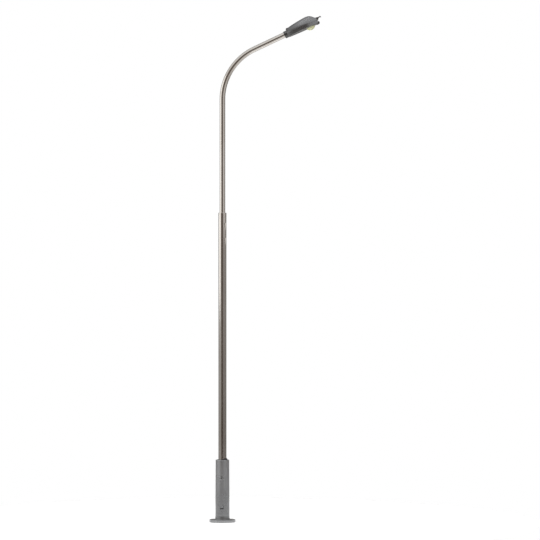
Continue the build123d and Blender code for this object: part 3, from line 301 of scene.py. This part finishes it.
def ceramic():
    """White fuse body with brass end caps."""
    bottom, top = (corner.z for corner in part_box("cartridge_fuse"))

    def cap(t):
        lower = t.maths("LESS_THAN", t.along("Z"), bottom + FUSE_CAP_LENGTH)
        upper = t.maths("GREATER_THAN", t.along("Z"), top - FUSE_CAP_LENGTH)
        return t.maths("ADD", lower, upper)

    def colour(t):
        body = t.ramp(t.noise(80.0, detail=3.0), [(0.3, (0.74, 0.73, 0.69)), (0.7, (0.82, 0.81, 0.78))])
        return t.mix(cap(t), body, (0.72, 0.53, 0.24))

    return surface("fuse_ceramic", colour, cap, 0.25, (lambda t: t.noise(600.0), 0.05, 0.0002))


def wire_sheath():
    """Insulated conductors: brown, blue and green, told apart by their place across the luminaire."""
    def colour(t):
        place = t.maths("MULTIPLY_ADD", t.along("Y"), 10.0, 0.5)
        brown, blue, green = (0.16, 0.06, 0.02), (0.02, 0.07, 0.30), (0.05, 0.22, 0.05)
        tone = t.ramp(place, [(0.0, brown), (0.36, blue), (0.6, green)], smooth=False)
        return t.mix(t.ramp(t.noise(200.0), [(0.4, 0.0), (0.7, 0.15)]), tone, (0.5, 0.5, 0.5))

    return surface("wire_sheath", colour, 0.0, 0.42, (lambda t: t.noise(800.0), 0.08, 0.0002))


def phosphor():
    """The light source: yellow phosphor under clear silicone."""
    def colour(t):
        return t.ramp(t.noise(500.0, detail=2.0), [(0.3, (0.92, 0.72, 0.10)), (0.7, (0.98, 0.88, 0.28))])

    return surface("led_phosphor", colour, 0.0, 0.2, (lambda t: t.noise(900.0), 0.1, 0.0002),
                   Coat_Weight=0.6, Coat_Roughness=0.08)


# The grey paint darkens towards the foot: road dirt together with painted shade along the flange.
PAINT = painted("grey_paint", (0.375, 0.382, 0.392), (0.410, 0.416, 0.424), 0.27, 0.85,
                dirt_and_shade=("Z", 0.0, [(0.10, 0.16), (0.16, 0.50), (0.34, 0.42), (0.84, 0.0)]))
# The head paint darkens by the arm's socket: painted shade where the head meets the arm, with some dirt.
HEAD_PAINT = painted("head_paint", (0.205, 0.207, 0.212), (0.235, 0.237, 0.241), 0.25, 0.86,
                     dirt_and_shade=("X", 0.95, [(0.06, 0.85), (0.18, 0.55), (0.40, 0.0)]), worn=(0.34, 0.34, 0.35))
TUBE = tube_metal()
ZINC = zinc("zinc_steel")
# Blackened steel for the lock barrel, this dark partly as painted shade at the top of the door's recess.
DARK_STEEL_AND_SHADE = zinc("blackened_steel_and_shade", (0.085, 0.085, 0.088), (0.12, 0.115, 0.11))
RUBBER = rubber()
BLACK_PLASTIC = plastic("black_plastic", (0.022, 0.022, 0.024))
GREY_PLASTIC = plastic("grey_plastic", (0.30, 0.31, 0.32))
BRASS = brushed("brass", (0.76, 0.56, 0.25), 0.25)
ALUMINIUM = brushed("aluminium", (0.78, 0.79, 0.80), 0.3)
REFLECTOR = brushed("reflector_metal", (0.90, 0.90, 0.90), 0.12)
FINISHES = {
    PAINT: ["base_flange", "pedestal", "door", "door_frame", "lock_plate"],
    HEAD_PAINT: ["luminaire_housing", "canopy", "latch_lever", "latch_keeper", "nose_bumper"],
    TUBE: ["lower_tube", "reducing_collar", "upper_tube"],
    # The lock barrel's dark steel is partly painted shade.
    DARK_STEEL_AND_SHADE: ["lock_barrel"],
    ZINC: ["neck_set_screws", "tube_centring_ring", "door_hinge_pin", "lock_cam", "cam_screw",
           "lock_keeper", "keeper_screws", "board_brackets", "board_screws", "tube_rest_ring",
           "spigot_clamp_screws", "ring_screws", "heatsink_screws", "driver_screws",
           "canopy_hinge_pin", "latch_pin"],
    RUBBER: ["neck_seal", "door_gasket", "socket_grommet", "canopy_gasket", "lens_gasket"],
    BLACK_PLASTIC: ["vent_insert", "fuse_carrier", "cable_gland", "column_cable", "surge_protector"],
    GREY_PLASTIC: ["cutout_body", "supply_terminal_box", "led_connector", "driver", "terminal_block"],
    BRASS: ["fuse_contacts", "earth_terminal"],
    ALUMINIUM: ["lens_ring", "heatsink", "led_board"],
    REFLECTOR: ["reflector"],
    lens_plastic(): ["lens_dome"],
    timber(): ["backboard"],
    ceramic(): ["cartridge_fuse"],
    wire_sheath(): ["luminaire_wires"],
    phosphor(): ["led_emitter"],
}
for finish, names in FINISHES.items():
    for name in names:
        for slot in nodes[name].material_slots:
            slot.material = finish

# ------------------------------------------------------------------ floor and light
FLOOR_RADIUS = 5.0


def make_floor():
    """A plain pale round floor, level with the foot's underside."""
    mesh = bpy.data.meshes.new("floor")
    shape = bmesh.new()
    bmesh.ops.create_circle(shape, cap_ends=True, segments=128, radius=FLOOR_RADIUS)
    shape.to_mesh(mesh)
    shape.free()
    floor = bpy.data.objects.new("floor", mesh)
    bpy.context.scene.collection.objects.link(floor)
    mesh.materials.append(surface(
        "floor",
        lambda t: t.ramp(t.noise(0.8, detail=3.0), [(0.3, 0.86), (0.7, 0.89)]),
        0.0, 0.9,
    ))


def make_world():
    """Soft studio surroundings: brighter on the left, dimmer on the right, dark near the camera."""
    world = bpy.data.worlds.new("studio")
    bpy.context.scene.world = world
    world.use_nodes = True
    t = Nodes(world.node_tree)
    way = t.add("ShaderNodeSeparateXYZ", {"Vector": t.add("ShaderNodeTexCoord").outputs["Generated"]})
    backwards = t.maths("MULTIPLY", way.outputs["Y"], -1.0)
    azimuth = t.maths("ARCTAN2", way.outputs["X"], backwards)
    turn = t.maths("MULTIPLY_ADD", azimuth, 0.5 / pi, 0.5)

    def at(degrees):
        return degrees / 360.0 + 0.5

    round_about = t.ramp(turn, [
        (at(-180), (0.28, 0.27, 0.26)), (at(-122), (0.30, 0.29, 0.28)), (at(-96), (0.48, 0.47, 0.46)),
        (at(-52), (0.50, 0.49, 0.48)), (at(-34), (0.26, 0.24, 0.22)), (at(-8), (0.11, 0.085, 0.07)),
        (at(14), (0.11, 0.09, 0.08)), (at(32), (0.30, 0.28, 0.27)), (at(130), (0.28, 0.27, 0.26)),
    ])
    behind = t.ramp(t.maths("MULTIPLY_ADD", way.outputs["Y"], 0.5, 0.5), [(0.55, 1.0), (0.85, 0.30)])
    sky = t.ramp(way.outputs["Z"], [(0.25, 0.0), (0.55, 1.0)])
    light = t.mix(sky, round_about, t.mix(behind, (0.0, 0.0, 0.0), (0.82, 0.82, 0.82)))
    ground = t.ramp(t.maths("MULTIPLY", way.outputs["Z"], -1.0), [(0.30, 0.0), (0.55, 1.0)])
    light = t.mix(ground, light, (0.70, 0.69, 0.68))
    seen = t.add("ShaderNodeBackground", {"Color": (1.0, 1.0, 1.0, 1.0), "Strength": 1.0})
    lit = t.add("ShaderNodeBackground", {"Color": light, "Strength": 1.0})
    camera_ray = t.add("ShaderNodeLightPath").outputs["Is Camera Ray"]
    both = t.add("ShaderNodeMixShader", {0: camera_ray, 1: lit.outputs[0], 2: seen.outputs[0]})
    t.add("ShaderNodeOutputWorld", {"Surface": both.outputs[0]})


def soft_panel(name, place, towards, width, height, radiance, mirrored=True):
    """A soft light panel that the camera itself doesn't see, mirrored in shiny parts or not."""
    data = bpy.data.lights.new(name, "AREA")
    data.shape = "RECTANGLE"
    data.size = width
    data.size_y = height
    data.energy = radiance * pi * width * height
    panel = bpy.data.objects.new(name, data)
    bpy.context.scene.collection.objects.link(panel)
    panel.location = place
    panel.rotation_euler = (Vector(towards) - Vector(place)).to_track_quat("-Z", "Y").to_euler()
    panel.visible_camera = False
    panel.visible_glossy = mirrored


make_floor()
make_world()
soft_panel("left_panel", (-5.85, -1.4, 6.5), (0.0, 0.0, 6.5), width=6.6, height=6.4, radiance=0.85)
soft_panel("right_panel", (5.6, -3.6, 7.4), (0.0, 0.0, 7.4), width=7.2, height=5.4, radiance=0.36)
soft_panel("ceiling_panel", (0.5, -0.5, 13.0), (0.5, -0.5, 0.0),
           width=7.0, height=7.0, radiance=8.6, mirrored=False)
